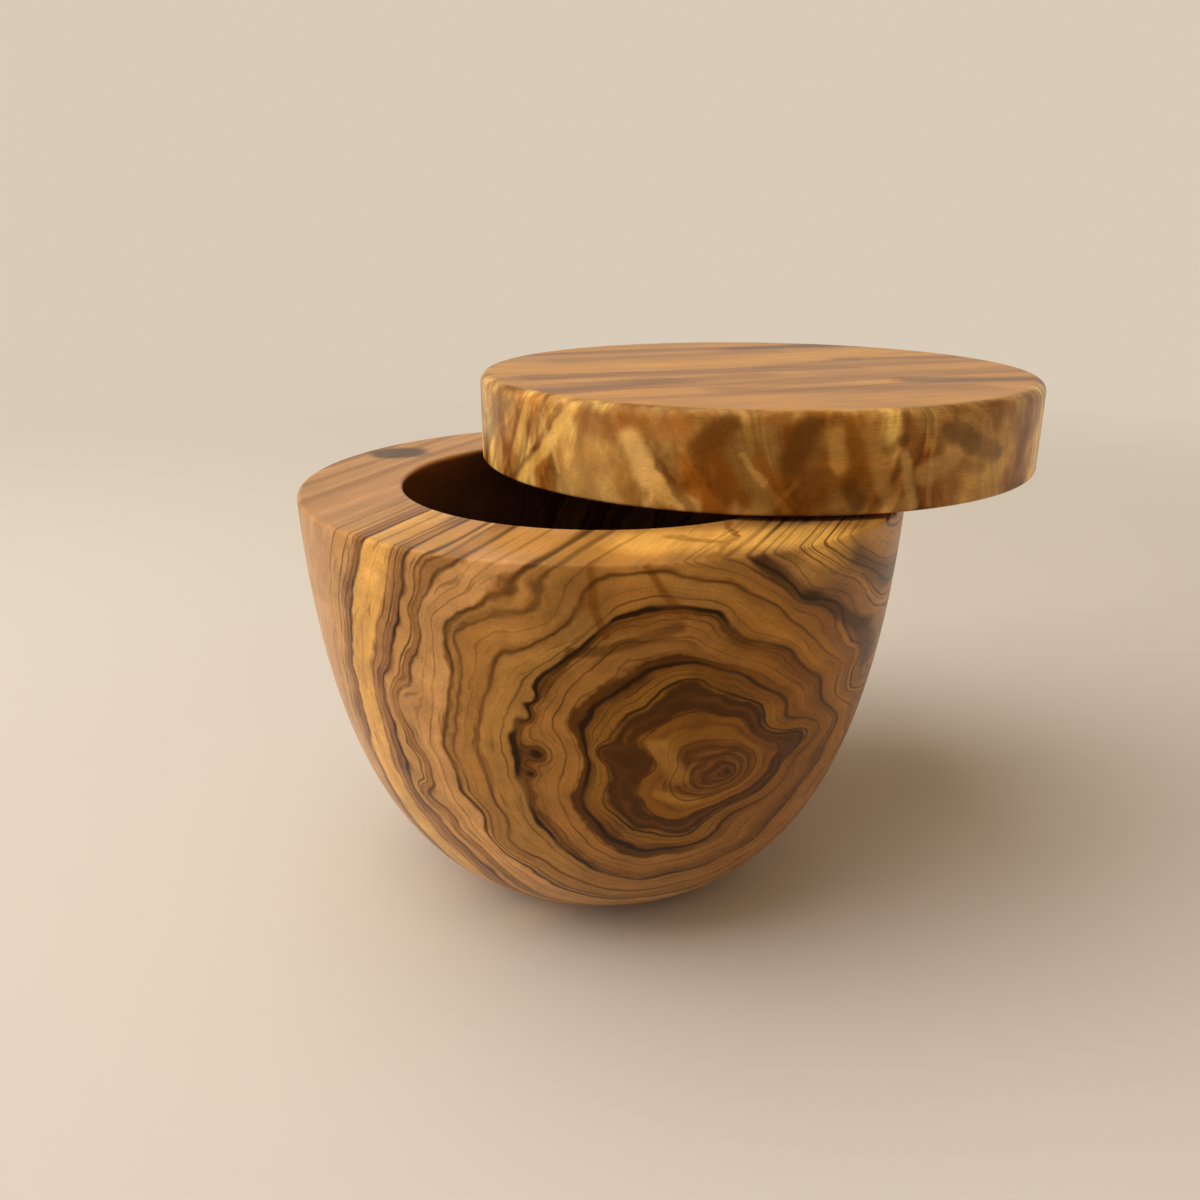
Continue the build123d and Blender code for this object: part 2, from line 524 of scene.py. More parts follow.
# %% [markdown]
# A colour ramp holds at most 32 stops and keeps its colours in 256 steps, so a long chart would
# lose its thin lines. It is split into spans instead, with a pair of ramps for each. Beyond its
# span a ramp of lines is blank, so those can simply be added, while each next ramp of colour
# takes over where its span begins.

# %% Reading the whole chart
def read_chart(tree, age, stain_age, borders, bands, lines, blend):
    """Joins the spans between the borders into one colour and one darkness."""
    tint, line = read_span(tree, age, stain_age, borders[0], borders[1], bands, lines, blend)
    for start, end in zip(borders[1:], borders[2:]):
        next_tint, next_line = read_span(tree, age, stain_age, start, end, bands, lines, blend)
        older = add(tree, "ShaderNodeMath", (stain_age, start), operation="GREATER_THAN")
        tint = add(tree, "ShaderNodeMix", {"Factor": older, "A": tint, "B": next_tint},
                   data_type="RGBA")
        line = add(tree, "ShaderNodeMath", (line, next_line), operation="ADD")
    return tint, line


print("a ramp with 256 steps over 5 mm of rings draws", round(5 / 256, 3), "mm")

# %% [markdown]
# Some marks in the wood follow no ring: a blotch of pigment, a knot, a streak that runs off
# across the grain. A painter would lay them in with a brush, and so does this function. Each
# stroke is a short line with a reach round it. Within the reach the colour goes over to the
# stroke's own, softly, and fully only near the line itself.

# %% Strokes of a brush
least_run = 0.01  # square mm, so that a dab, whose two ends are one place, divides by no zero


def daubed(tree, place, tint, strokes, hardness):
    """Strokes of another colour: each has two ends and a reach in mm, a colour and a strength."""
    for start, end, reach, colour, strength in strokes:
        start = Vector(start)
        run = Vector(end) - start
        from_start = add(tree, "ShaderNodeVectorMath", (place, start), operation="SUBTRACT")
        along = add(tree, "ShaderNodeVectorMath", (from_start, run), operation="DOT_PRODUCT")
        share = add(tree, "ShaderNodeMath", operation="DIVIDE", use_clamp=True, sockets=(
            along.outputs["Value"], max(run.length_squared, least_run)))
        nearest = add(tree, "ShaderNodeVectorMath", {"Vector": run, "Scale": share}, operation="SCALE")
        distance = add(tree, "ShaderNodeVectorMath", (from_start, nearest), operation="DISTANCE")
        touch = add(tree, "ShaderNodeMapRange", interpolation_type="SMOOTHSTEP", sockets={
            "Value": distance, "From Min": reach, "From Max": reach * hardness, "To Max": strength})
        tint = add(tree, "ShaderNodeMix", {"Factor": touch, "A": tint, "B": linear(colour)},
                   data_type="RGBA")
    return tint


def at_level(strokes, level):
    """Strokes that are written in two coordinates, with the third put to each of their ends."""
    return [((*start, level), (*end, level), *look) for start, end, *look in strokes]


print("one stroke at a level:", at_level([((0, 0), (1, 0), 1.0, "#000000", 1.0)], 5.0))

# %% [markdown]
# The finish is the same on both pieces: olive wood, sanded fine and oiled. Olive has fine fibres
# along the grain, short pores that the oil has darkened, a mottle where the fibres wave, and slow
# clouds of lighter and browner wood. All are noise that is stretched along the grain, each with a
# width and a length in millimetres. The real fibres are about 0.1 mm wide, too fine for the
# render, so they are drawn three times as wide.

# %% The sizes of the grain
fibre_width = 0.3
fibre_length = 6.0
fibre_noise = (0.25, 0.75)
fibre_relief = 0.03 * mm
pore_width = 0.28
pore_length = 1.6
mottle_width = 3.5
mottle_length = 16.0
cloud_width = 14.0
cloud_length = 60.0
print("fibres", fibre_width, "by", fibre_length, "mm")

# %% [markdown]
# Oiled wood is neither dull nor glossy. Its satin comes from a middling roughness that varies
# with the fibres, and a bump of a few hundredths of a millimetre breaks up the highlights. The
# film of oil has an IOR of 1.5. The oil is amber and takes some blue out of what the film gives
# back, so the weak reflection is tinted, and it doesn't lie on the dark wood as a grey haze.

# %% The oiled finish
satin = (0.26, 0.38)  # roughness on the smoothest and on the most open fibres
oil_ior = 1.5
oil_reflection = 0.3  # of the shader's own scale, where 0.5 is a bare surface
oil_tint = "#E8B878"


def connected(tree, shader, colour, rough, bump):
    """Joins a finish's colour, roughness and bump to its shader."""
    for socket, result in (("Base Color", colour), ("Roughness", rough), ("Normal", bump)):
        tree.links.new(next(o for o in result.outputs if o.enabled), shader.inputs[socket])


def oiled(tree, shader, log, tint, line, line_colour):
    """Lays fibres, pores and clouds over a figure and gives the whole a satin sheen."""
    fibre = figure(tree, log, fibre_width, fibre_length, seed=3.0, detail=1.0)
    streak = add(tree, "ShaderNodeMapRange", {
        "Value": fibre, "From Min": fibre_noise[0], "From Max": fibre_noise[1],
        "To Min": 0.9, "To Max": 1.1})
    pored = graded(tree, log, pore_width, pore_length, seed=7.0, detail=0.0,
                   noise=(0.66, 0.78), result=(1.0, 0.84))
    cloud = graded(tree, log, cloud_width, cloud_length, seed=11.0, detail=3.0, result=(0.84, 1.14))
    mottle = graded(tree, log, mottle_width, mottle_length, seed=19.0, detail=3.0,
                    result=(0.86, 1.12))
    shade = add(tree, "ShaderNodeMath", (cloud, streak), operation="MULTIPLY")
    shade = add(tree, "ShaderNodeMath", (shade, mottle), operation="MULTIPLY")
    shade = add(tree, "ShaderNodeMath", (shade, pored), operation="MULTIPLY")
    wood = add(tree, "ShaderNodeVectorMath", {"Vector": tint, "Scale": shade}, operation="SCALE")
    colour = add(tree, "ShaderNodeMix", {
        "Factor": line, "A": wood, "B": linear(line_colour)}, data_type="RGBA", clamp_factor=True)
    rough = add(tree, "ShaderNodeMapRange", {
        "Value": fibre, "From Min": fibre_noise[0], "From Max": fibre_noise[1],
        "To Min": satin[0], "To Max": satin[1]})
    relief = add(tree, "ShaderNodeMath", (fibre, pored), operation="MULTIPLY")
    bump = add(tree, "ShaderNodeBump", {"Strength": 0.5, "Distance": fibre_relief, "Height": relief})
    connected(tree, shader, colour, rough, bump)
    shader.inputs["IOR"].default_value = oil_ior
    shader.inputs["Specular IOR Level"].default_value = oil_reflection
    shader.inputs["Specular Tint"].default_value = linear(oil_tint)


print("roughness from", satin[0], "to", satin[1])

# %% [markdown]
# The block of the bowl held a side branch. Its heart comes out at the front, low and to the
# right, and the rings stand round it as a dark eye. The branch grew faster towards the left, so
# the rings are wider there. The chart starts at the heart and runs out to the bark: a brown core,
# two broad dark rings, plain tan wood, and then the crowded lines and the golden sapwood that
# show at the left of the bowl.

# %% Bowl: the chart of its rings
bowl_bands = (
    (0.5, "#4A280C"), (1.0, "#784A1C"), (1.5, "#56300E"), (2.1, "#7E4F20"), (2.6, "#5C340E"),
    (3.2, "#825222"), (3.7, "#62390F"), (4.3, "#7C4B1C"), (5.6, "#94621F"), (6.1, "#7A4A18"),
    (6.9, "#8E5A1C"), (7.9, "#4F2C0B"), (8.2, "#6C4014"), (8.9, "#492809"), (10.7, "#906024"),
    (11.2, "#74481A"), (12.4, "#54300C"), (14.9, "#A67136"), (15.6, "#98662F"), (16.3, "#724616"),
    (19.4, "#AA793B"), (20.0, "#94622E"), (21.8, "#A67439"), (22.3, "#9C6A34"), (22.7, "#AE7E42"),
    (23.2, "#8E5C2A"), (26.6, "#C89258"), (27.6, "#A06E3C"), (28.7, "#C48E50"), (29.7, "#90603A"),
    (31.1, "#AA7642"), (34.2, "#DAA254"), (34.7, "#8A5830"), (35.4, "#A06B3B"), (37.6, "#C08C52"),
    (42.0, "#C18C59"), (45.0, "#BA8550"), (46.2, "#A87441"), (49.0, "#BC8952"), (50.0, "#AA7641"),
    (52.2, "#B8854E"), (53.0, "#9B6936"), (60.0, "#B28047"))
bowl_lines = (
    (0.7, 0.12, 0.6), (1.2, 0.1, 0.5), (1.9, 0.12, 0.5), (2.5, 0.1, 0.5), (3.1, 0.12, 0.5),
    (4.3, 0.16, 0.75), (5.4, 0.1, 0.3), (6.9, 0.14, 0.6), (9.2, 0.22, 0.9), (9.9, 0.1, 0.45),
    (10.5, 0.1, 0.5), (11.4, 0.36, 1.2), (12.5, 0.12, 0.5), (13.7, 0.13, 0.7), (14.6, 0.1, 0.4),
    (15.3, 0.14, 0.6), (15.9, 0.12, 0.6), (16.4, 0.42, 1.25), (17.4, 0.14, 0.6), (18.4, 0.1, 0.2),
    (19.7, 0.28, 0.66), (21.0, 0.1, 0.35), (22.0, 0.2, 0.6), (22.9, 0.3, 0.85), (24.6, 0.14, 0.5),
    (25.6, 0.1, 0.3), (26.7, 0.22, 0.7), (27.4, 0.12, 0.5), (27.8, 0.16, 0.8), (29.0, 0.26, 1.0),
    (29.6, 0.1, 0.5), (30.0, 0.2, 0.8), (30.9, 0.14, 0.7), (32.6, 0.1, 0.25), (34.3, 0.24, 0.85),
    (34.9, 0.14, 0.7), (35.5, 0.12, 0.6), (36.1, 0.16, 0.7), (37.7, 0.14, 0.6), (39.5, 0.1, 0.15),
    (46.2, 0.14, 0.3), (50.0, 0.12, 0.25), (52.9, 0.2, 0.4))
bowl_borders = (0.0, 4.5, 10.8, 17.0, 24.0, 28.5, 33.5, 41.0, 60.0)
print("the bowl's chart has", len(bowl_bands), "bands and", len(bowl_lines), "lines")

# %% [markdown]
# The rings of the bowl get their run in four steps. A slow sway bends whole groups of them, a
# quicker one gives them their small waves, and the dents put the bulges, the point at the right
# and the little bubbles of the dark ring in their places. A last ripple keeps the thin lines
# from running too smoothly.

# %% Bowl: how the rings run
branch_heart = (8.9, -51.6, 41.0)
bowl_grain_azimuth = 56.0
bowl_roll = -8.1
ring_flatness = 0.723
ring_lean = (0.44, -0.056, 0.0)
ripple_rise = 0.6  # mm of age
bowl_dents = (
    (2.0, -8.5, 9.0, 3.8), (9.6, 4.6, 6.5, -3.2), (15.5, 10.5, 8.0, 3.4), (-26.0, 24.0, 10.0, 2.4),
    (-41.0, 20.0, 8.0, -1.3), (-51.0, 3.5, 7.0, -1.4), (-47.0, 30.0, 8.0, -1.1),
    (-46.0, 17.0, 5.0, 0.9), (-38.0, -26.0, 16.0, 1.4), (-46.0, -8.0, 6.0, 0.9),
    (-46.0, -15.0, 4.5, -0.8), (-30.5, -20.0, 7.0, -1.3), (-16.0, -21.0, 13.0, -1.0),
    (-21.8, 2.0, 8.0, 1.4), (-9.8, 1.8, 5.5, 1.6), (-1.5, 22.5, 6.5, 1.4), (-17.0, 22.0, 6.0, -0.8),
    (4.0, 8.0, 5.0, 1.0), (-8.0, 16.5, 6.5, -0.7), (10.0, 27.5, 6.0, -1.1), (-16.0, -6.5, 5.0, -0.8),
    (-35.0, -14.0, 5.0, 0.8), (-27.7, 8.3, 2.4, 0.9), (-25.2, 1.9, 3.4, 1.1), (-26.6, -2.4, 2.3, 0.9),
    (-27.4, 11.6, 2.0, 0.8), (-16.6, 3.8, 2.8, -1.8))

bowl_wood, tree, shader = material("oiled olive wood, bowl")
log = log_frame(tree, branch_heart, bowl_grain_azimuth, bowl_roll)
bent = swayed(tree, log, across=14.0, along=60.0, reach=(2.0, 2.0, 0.0), seed=1.0, detail=0.0)
bent = swayed(tree, bent, across=5.5, along=40.0, reach=(1.6, 1.6, 0.0), seed=5.0, detail=0.0)
age = ring_age(tree, bent, ring_flatness, ring_lean)
age = dented(tree, log, age, bowl_dents)
ripple = figure(tree, log, across=3.0, along=30.0, seed=9.0, detail=1.0)
ripple = add(tree, "ShaderNodeMath", (ripple, ripple_rise, -ripple_rise / 2),
             operation="MULTIPLY_ADD")
age = add(tree, "ShaderNodeMath", (age, ripple), operation="ADD")
print("the rings of the bowl have", len(bowl_dents), "dents")

# %% [markdown]
# The chart gives each ring its colour. Within a ring the wood is streaked too, by the seasons it
# grew in. Those streaks are noise that changes quickly with age and slowly along the ring, which
# makes them follow every bend that the rings make.

# %% Bowl: the colour of the rings
stain_drift = 1.8  # mm of age by which the colour may leave its ring
band_blend = 0.2
growth_width = 1.1  # mm of age
growth_length = 60.0
flow_spread = 0.08  # how fast the streaks change along a ring, against across it
stain = figure(tree, log, across=5.0, along=40.0, seed=17.0, detail=2.0)
stain = add(tree, "ShaderNodeMath", (stain, stain_drift, -stain_drift / 2),
            operation="MULTIPLY_ADD")
stain_age = add(tree, "ShaderNodeMath", (age, stain), operation="ADD")
tint, line = read_chart(tree, age, stain_age, bowl_borders, bowl_bands, bowl_lines, band_blend)
flow = add(tree, "ShaderNodeVectorMath", (bent, (flow_spread, flow_spread, 0.0)),
           operation="MULTIPLY")
growth = add(tree, "ShaderNodeCombineXYZ", {"X": age})
flow = add(tree, "ShaderNodeVectorMath", (flow, growth), operation="ADD")
season = graded(tree, flow, growth_width, growth_length, seed=23.0, detail=3.0,
                result=(0.82, 1.16))
tint = add(tree, "ShaderNodeVectorMath", {"Vector": tint, "Scale": season}, operation="SCALE")
print("streaks of growth are", growth_width, "mm thick")

# %% [markdown]
# To the right of the heart the real bowl is calmer: the same rings go on there as faint shades of
# one golden brown. A second, short chart holds those colours. It takes over from the first one
# across the heart, outside the dark core.

# %% Bowl: the calm side
calm_stops = (
    (9.5, "#905C1E"), (14.2, "#945F1F"), (15.4, "#7C4C18"), (16.4, "#7E4E1A"), (17.4, "#AA7028"),
    (20.6, "#AC7330"), (21.6, "#946030"), (22.6, "#B47A38"), (23.4, "#A06C3A"), (24.4, "#865A34"),
    (25.4, "#A06E40"), (26.8, "#BA8244"), (36.0, "#C68C40"), (60.0, "#C28A50"))
calm_start = -10.0  # mm across from the heart
calm_end = 7.0
calm_strength = 0.9
core_age = calm_stops[0][0]
calm_span = calm_stops[-1][0] - core_age
sideways = add(tree, "ShaderNodeSeparateXYZ", {"Vector": bent}).outputs["X"]
calm = add(tree, "ShaderNodeMapRange", interpolation_type="SMOOTHSTEP", sockets={
    "Value": sideways, "From Min": calm_start, "From Max": calm_end, "To Max": calm_strength})
outer = add(tree, "ShaderNodeMath", (age, core_age), operation="GREATER_THAN")
calm = add(tree, "ShaderNodeMath", (calm, outer), operation="MULTIPLY")
share = add(tree, "ShaderNodeMapRange", {
    "Value": age, "From Min": core_age, "From Max": core_age + calm_span})
calm_tint = add(tree, "ShaderNodeValToRGB", {"Fac": share})
paint(calm_tint, [((stop_age - core_age) / calm_span, linear(colour))
                  for stop_age, colour in calm_stops])
calm_tint = add(tree, "ShaderNodeVectorMath", {"Vector": calm_tint, "Scale": season},
                operation="SCALE")
tint = add(tree, "ShaderNodeMix", {"Factor": calm, "A": tint, "B": calm_tint}, data_type="RGBA")
print("the calm side starts", calm_start, "mm across from the heart")

# %% [markdown]
# Then come the marks that keep to no ring. Those on the front are written across and up from the
# heart: black pigment at the upper right, brown flecks under the rim, pale windows in the dark
# rings. They fade out behind the front, where another part of the log takes over. A soft sway of
# the brush keeps them from looking drawn.

# %% Bowl: marks on the front
bowl_strokes = (
    ((-1.2, 35.5), (6.2, 29.5), 1.7, "#2E1A0C", 0.85), ((6.2, 29.5), (12.5, 22), 1.4, "#3A2412", 0.8),
    ((12.5, 22), (14.5, 13), 1.2, "#4A2E18", 0.7), ((0.5, 37), (8, 32.6), 0.9, "#4A3220", 0.7),
    ((9, 37), (15, 27), 1.8, "#49301C", 0.65), ((-5.5, 17.5), (4, 13), 2.2, "#6A4016", 0.5),
    ((-6.5, 14.5), (-12.5, 10), 2.0, "#4C2A0E", 0.6), ((-14.5, 5), (-14, -5), 1.8, "#4C2A0E", 0.6),
    ((-21.4, 34), (-20.6, 28), 0.8, "#7C440A", 0.75), ((-20.6, 28), (-18.6, 23.5), 0.9, "#7C440A", 0.7),
    ((-13.9, 34), (-11.6, 30), 0.7, "#7C440A", 0.75), ((-11.6, 30), (-8.6, 26.4), 1.0, "#7C440A", 0.7),
    ((-17.6, 33), (-15.6, 29), 4.0, "#C08640", 0.5), ((-22, 20), (-9, 24.5), 1.3, "#4C2A0E", 0.6),
    ((-27, 12), (-22, 20), 1.1, "#4C2A0E", 0.55), ((-7, 3), (1, 4.4), 0.8, "#5A3414", 0.7),
    ((-7, 3), (-8, -3), 0.6, "#6A4018", 0.6), ((3, 6.5), (7, 1.5), 1.4, "#643A14", 0.6),
    ((-4, -5), (-9, -3.4), 1.2, "#B57E38", 0.6), ((-9, 6), (-6, 0), 2.2, "#B8823C", 0.6),
    ((-20, 30), (-12, 27), 5.5, "#8C5622", 0.42), ((-16, -24), (0, -22), 5.0, "#9A6226", 0.4))
front_start = -62.0  # mm along the log, behind which no mark is left
front_end = -42.0
in_face = add(tree, "ShaderNodeVectorMath", (bent, (1.0, 1.0, 0.0)), operation="MULTIPLY")
stroked = daubed(tree, in_face, tint, at_level(bowl_strokes, 0.0), hardness=0.3)
depth = add(tree, "ShaderNodeSeparateXYZ", {"Vector": log}).outputs["Z"]
front = add(tree, "ShaderNodeMapRange", interpolation_type="SMOOTHSTEP", sockets={
    "Value": depth, "From Min": front_start, "From Max": front_end})
tint = add(tree, "ShaderNodeMix", {"Factor": front, "A": tint, "B": stroked}, data_type="RGBA")
print("the front has", len(bowl_strokes), "marks")

# %% [markdown]
# The rim shows the sapwood at the front as one golden sheet, with two thin brown lines that loop
# back in it, and a dark oval knot at the left. Their places are given in a plain frame instead
# of the log's: to the right, up, and towards the front, from the middle of the foot.

# %% Bowl: marks on the rim
rim_strokes = (
    ((-32, 77.5, 34), (-6, 77.5, 48), 8.5, "#C78B3B", 0.6),
    ((-2, 77.5, 44), (24, 77.5, 46), 9.0, "#F1B556", 0.85),
    ((13.5, 77.5, 35), (12, 77.5, 43), 1.0, "#87561C", 0.7),
    ((12, 77.5, 43), (5, 77.5, 54), 1.0, "#87561C", 0.6),
    ((2, 77.5, 42), (8, 77.5, 46), 1.6, "#9C6927", 0.6))
rim_knot = (((-37.4, 77.5, -30.2), (-36, 77.5, -31), 7.0, "#332014", 0.88),)
plain = log_frame(tree, (0.0, 0.0, 0.0), grain_azimuth=90.0, roll=0.0)
spot = swayed(tree, plain, across=6.0, along=6.0, reach=(4.0, 4.0, 4.0), seed=21.0, detail=2.0)
tint = daubed(tree, spot, tint, rim_strokes, hardness=0.3)
tint = daubed(tree, spot, tint, rim_knot, hardness=0.5)
print("the rim has", len(rim_strokes) + len(rim_knot), "marks")

# %% [markdown]
# The lines are thin skins of pigment, and no ring keeps one all the way round. A slow figure
# lets each line fade and come back. On the calm side the inner ones are at half strength. Finer
# hairlines run between them, from the same flow as the streaks of growth, and they stop short of
# the sapwood, which has none.

# %% Bowl: the lines
calm_line_age = (17.0, 20.0)  # mm between which the lines of the calm side get back their strength
hairline_age = (36.0, 42.0)  # mm between which the hairlines die out
hairline_width = 0.5
faint = graded(tree, log, across=9.0, along=40.0, seed=13.0, detail=1.0,
               noise=(0.32, 0.58), result=(0.45, 1.0))
within = add(tree, "ShaderNodeMapRange", {
    "Value": age, "From Min": calm_line_age[1], "From Max": calm_line_age[0]})
within = add(tree, "ShaderNodeMath", (within, calm), operation="MULTIPLY")
thinner = add(tree, "ShaderNodeMapRange", {"Value": within, "To Min": 1.0, "To Max": 0.5})
faint = add(tree, "ShaderNodeMath", (faint, thinner), operation="MULTIPLY")
line = add(tree, "ShaderNodeMath", (line, faint), operation="MULTIPLY")
fine = graded(tree, flow, hairline_width, growth_length, seed=27.0, detail=1.0,
              noise=(0.62, 0.74), result=(0.0, 0.45))
young = add(tree, "ShaderNodeMapRange", {
    "Value": age, "From Min": hairline_age[1], "From Max": hairline_age[0]})
fine = add(tree, "ShaderNodeMath", (fine, young), operation="MULTIPLY")
line = add(tree, "ShaderNodeMath", (line, fine), operation="MAXIMUM")
print("hairlines come from a figure of", hairline_width, "mm")

# %% [markdown]
# Inside, the hollow lies in deep shade under the lid, and that shade is painted into the wood as
# a deep brown. It is the same wood, so the same figure is kept and multiplied down, more in green
# and blue than in red. Where the painted shade starts is a question of place: within the mouth's
# radius, under its edge, and above the floor of the cavity, because the foot lies within that
# radius too.

# %% Bowl: the painted shade inside, and the finish
# the painted shade of the hollow: where it starts, and the share of colour that it leaves
painted_shade_radius = 36.4
painted_shade_height = 76.4
painted_shade_blend = 0.8
painted_shade_share = (0.13, 0.06, 0.05)  # of the red, green and blue that the outside gives back
floor_thickness = 17.5
floor_margin = 1.0
place = in_mm(tree)
height = add(tree, "ShaderNodeSeparateXYZ", {"Vector": place}).outputs["Z"]
flat = add(tree, "ShaderNodeVectorMath", (place, (1.0, 1.0, 0.0)), operation="MULTIPLY")
radius = add(tree, "ShaderNodeVectorMath", (flat,), operation="LENGTH")
inwards = add(tree, "ShaderNodeMapRange", {
    "Value": radius, "From Min": painted_shade_radius + painted_shade_blend, "From Max": painted_shade_radius})
below = add(tree, "ShaderNodeMapRange", {
    "Value": height, "From Min": painted_shade_height + painted_shade_blend, "From Max": painted_shade_height})
above = add(tree, "ShaderNodeMath", (height, floor_thickness - floor_margin),
            operation="GREATER_THAN")
hollow_shade_mask = add(tree, "ShaderNodeMath", (inwards, below), operation="MULTIPLY")
hollow_shade_mask = add(tree, "ShaderNodeMath", (hollow_shade_mask, above), operation="MULTIPLY")
# painted shade: the wood inside is multiplied down to a deep brown
dark = add(tree, "ShaderNodeVectorMath", (tint, painted_shade_share), operation="MULTIPLY")
tint = add(tree, "ShaderNodeMix", {"Factor": hollow_shade_mask, "A": tint, "B": dark}, data_type="RGBA")
oiled(tree, shader, log, tint, line, "#1E0C04")
print("bowl wood has", len(tree.nodes), "nodes")

# %% [markdown]
# The bowl is one profile. It starts at the centre of the foot, rounds the foot's edge, climbs the
# outside in one free curve and crosses the rim. Then it goes down the upright wall of the mouth
# and over the floor to the centre again. The free curves leave each end in a direction that can
# be measured: two degrees off upright at the rim, and seventeen and a half above the table.

# %% Bowl: its profile
rim_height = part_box("bowl")[1].z / mm
foot_radius = 21.0
foot_edge = 1.2
side_lean = math.radians(2.0)
side_pull = 31.5
foot_rise = math.radians(17.5)
foot_pull = 28.5
rim_wall = 18.4
upright_wall = 25.0
floor_fullness = 0.55  # of the way to a square corner, which draws a quarter of an ellipse
rim_edge = 0.75
mouth_edge = 0.6


def bowl_profile():
    """The outline of half the bowl, from the middle of the foot round to the middle of the floor."""
    lean = Vector((math.sin(side_lean), math.cos(side_lean)))
    rise = Vector((math.cos(foot_rise), math.sin(foot_rise)))
    rim = Vector((rim_radius, rim_height))
    foot = Vector((foot_radius, 0.0))
    foot_turn = Vector((foot_radius - foot_edge * math.tan(foot_rise / 2), foot_edge))
    rim_turn = rim - Vector((rim_edge * (1 + math.sin(side_lean)), rim_edge))
    mouth_radius = rim_radius - rim_wall
    mouth_turn = Vector((mouth_radius + mouth_edge, rim_height - mouth_edge))
    wall_foot = Vector((mouth_radius, rim_height - upright_wall))
    floor_middle = Vector((0.0, floor_thickness))
    floor_corner = Vector((mouth_radius, floor_thickness))
    side = [p for p in curve(foot, foot + rise * foot_pull, rim - lean * side_pull, rim)
            if p.x > foot_radius + 2 * foot_edge and p.y < rim_turn.y]
    return (straight(Vector((0.0, 0.0)), Vector((foot_turn.x, 0.0)))
            + corner(foot_turn, foot_edge, -90, -90 + math.degrees(foot_rise))
            + side
            + corner(rim_turn, rim_edge, -math.degrees(side_lean), 90)
            + straight(Vector((rim_turn.x, rim_height)), Vector((mouth_turn.x, rim_height)))
            + corner(mouth_turn, mouth_edge, 90, 180)
            + straight(Vector((mouth_radius, mouth_turn.y)), wall_foot)
            + curve(wall_foot, wall_foot.lerp(floor_corner, floor_fullness),
                    floor_middle.lerp(floor_corner, floor_fullness), floor_middle))


print("rim at", round(rim_height, 2), "mm,", len(bowl_profile()), "points in the profile")

# %% [markdown]
# The bush of the pivot is pressed into a blind hole in the rim. The hole is drilled from above,
# two hundredths of a millimetre narrower than the bush, and down to the bush's foot. Its place is
# read off the measured bush, so that the two can't drift apart.

# %% Bowl: the turning
press_squeeze = 0.01  # by which each hole's radius is less than that of what is pressed in
drill_clearance = 1.0  # the drill starts this far off the wood, for a clean cut
bush_low, bush_high = [box_corner / mm for box_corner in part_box("pivot_bush")]
bush_middle = (bush_low + bush_high) / 2
bush_radius = (bush_high.x - bush_low.x) / 2
bush_seat = Vector((bush_middle.x, bush_middle.y, bush_low.z)) * mm
bowl = turned("turned_bowl", bowl_profile(), (0, 0, 0), bush_seat,
              (bush_radius - press_squeeze) * mm,
              (rim_height - bush_low.z + drill_clearance) * mm, bowl_wood)
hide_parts("bowl")
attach(bowl, "bowl")

# %% [markdown]
# The lid was cut from another block, with its faces along the grain. The heart of that log lies
# far off, in front and below, so its rings are nearly straight in the lid and cross the top as
# long streaks. The bands are broad and close in colour, and the lines faint.

# %% Lid: the long grain
lid_low, lid_high = [box_corner / mm for box_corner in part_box("lid")]
lid_middle = (lid_low + lid_high) / 2
lid_heart = (lid_middle.x, lid_middle.y - 90.0, lid_middle.z - 30.0)
lid_grain_azimuth = 186.0
lid_flatness = 0.8
lid_stain_drift = 10.0
lid_blend = 1.2
lid_bands = (
    (46.0, "#C08333"), (56.0, "#C68936"), (64.0, "#C4873C"), (67.0, "#A56B2F"), (74.0, "#C48738"),
    (78.0, "#A96F2C"), (82.0, "#B57B33"), (93.0, "#C4873C"), (97.0, "#A56C2F"), (104.0, "#C48738"),
    (112.0, "#CE9139"), (114.0, "#B87D33"), (118.0, "#CC8F39"), (128.0, "#BE833B"), (132.0, "#99632B"),
    (150.0, "#C28639"))
lid_lines = (
    (48.0, 0.3, 0.2), (52.0, 0.3, 0.25), (54.6, 0.3, 0.25), (57.2, 0.3, 0.2), (60.4, 0.3, 0.25),
    (67.2, 0.4, 0.25), (76.0, 0.4, 0.25), (96.9, 0.5, 0.25), (131.0, 1.0, 0.3), (140.0, 0.5, 0.2))
lid_borders = (30.0, 70.0, 100.0, 150.0)

lid_wood, tree, shader = material("oiled olive wood, lid")
log = log_frame(tree, lid_heart, lid_grain_azimuth, roll=0.0)
bent = swayed(tree, log, across=20.0, along=90.0, reach=(12.0, 12.0, 0.0), seed=2.0, detail=1.0)
bent = swayed(tree, bent, across=6.0, along=40.0, reach=(4.0, 4.0, 0.0), seed=6.0, detail=2.0)
age = ring_age(tree, bent, lid_flatness, (0.0, 0.0, 0.0))
stain = figure(tree, log, across=5.0, along=30.0, seed=17.0, detail=2.0)
stain = add(tree, "ShaderNodeMath", (stain, lid_stain_drift, -lid_stain_drift / 2),
            operation="MULTIPLY_ADD")
stain_age = add(tree, "ShaderNodeMath", (age, stain), operation="ADD")
tint, line = read_chart(tree, age, stain_age, lid_borders, lid_bands, lid_lines, lid_blend)
faint = graded(tree, log, across=8.0, along=30.0, seed=13.0, detail=1.0, noise=(0.4, 0.62))
line = add(tree, "ShaderNodeMath", (line, faint), operation="MULTIPLY")

# %% [markdown]
# The top of the real lid has a few streaks of its own, brown ones and pale ones, and they are
# what one would know it by. They are brushed on in the lid's own frame, in mm from the middle of
# its underside. The brush is soft to the very line, and it is pushed about along the grain.

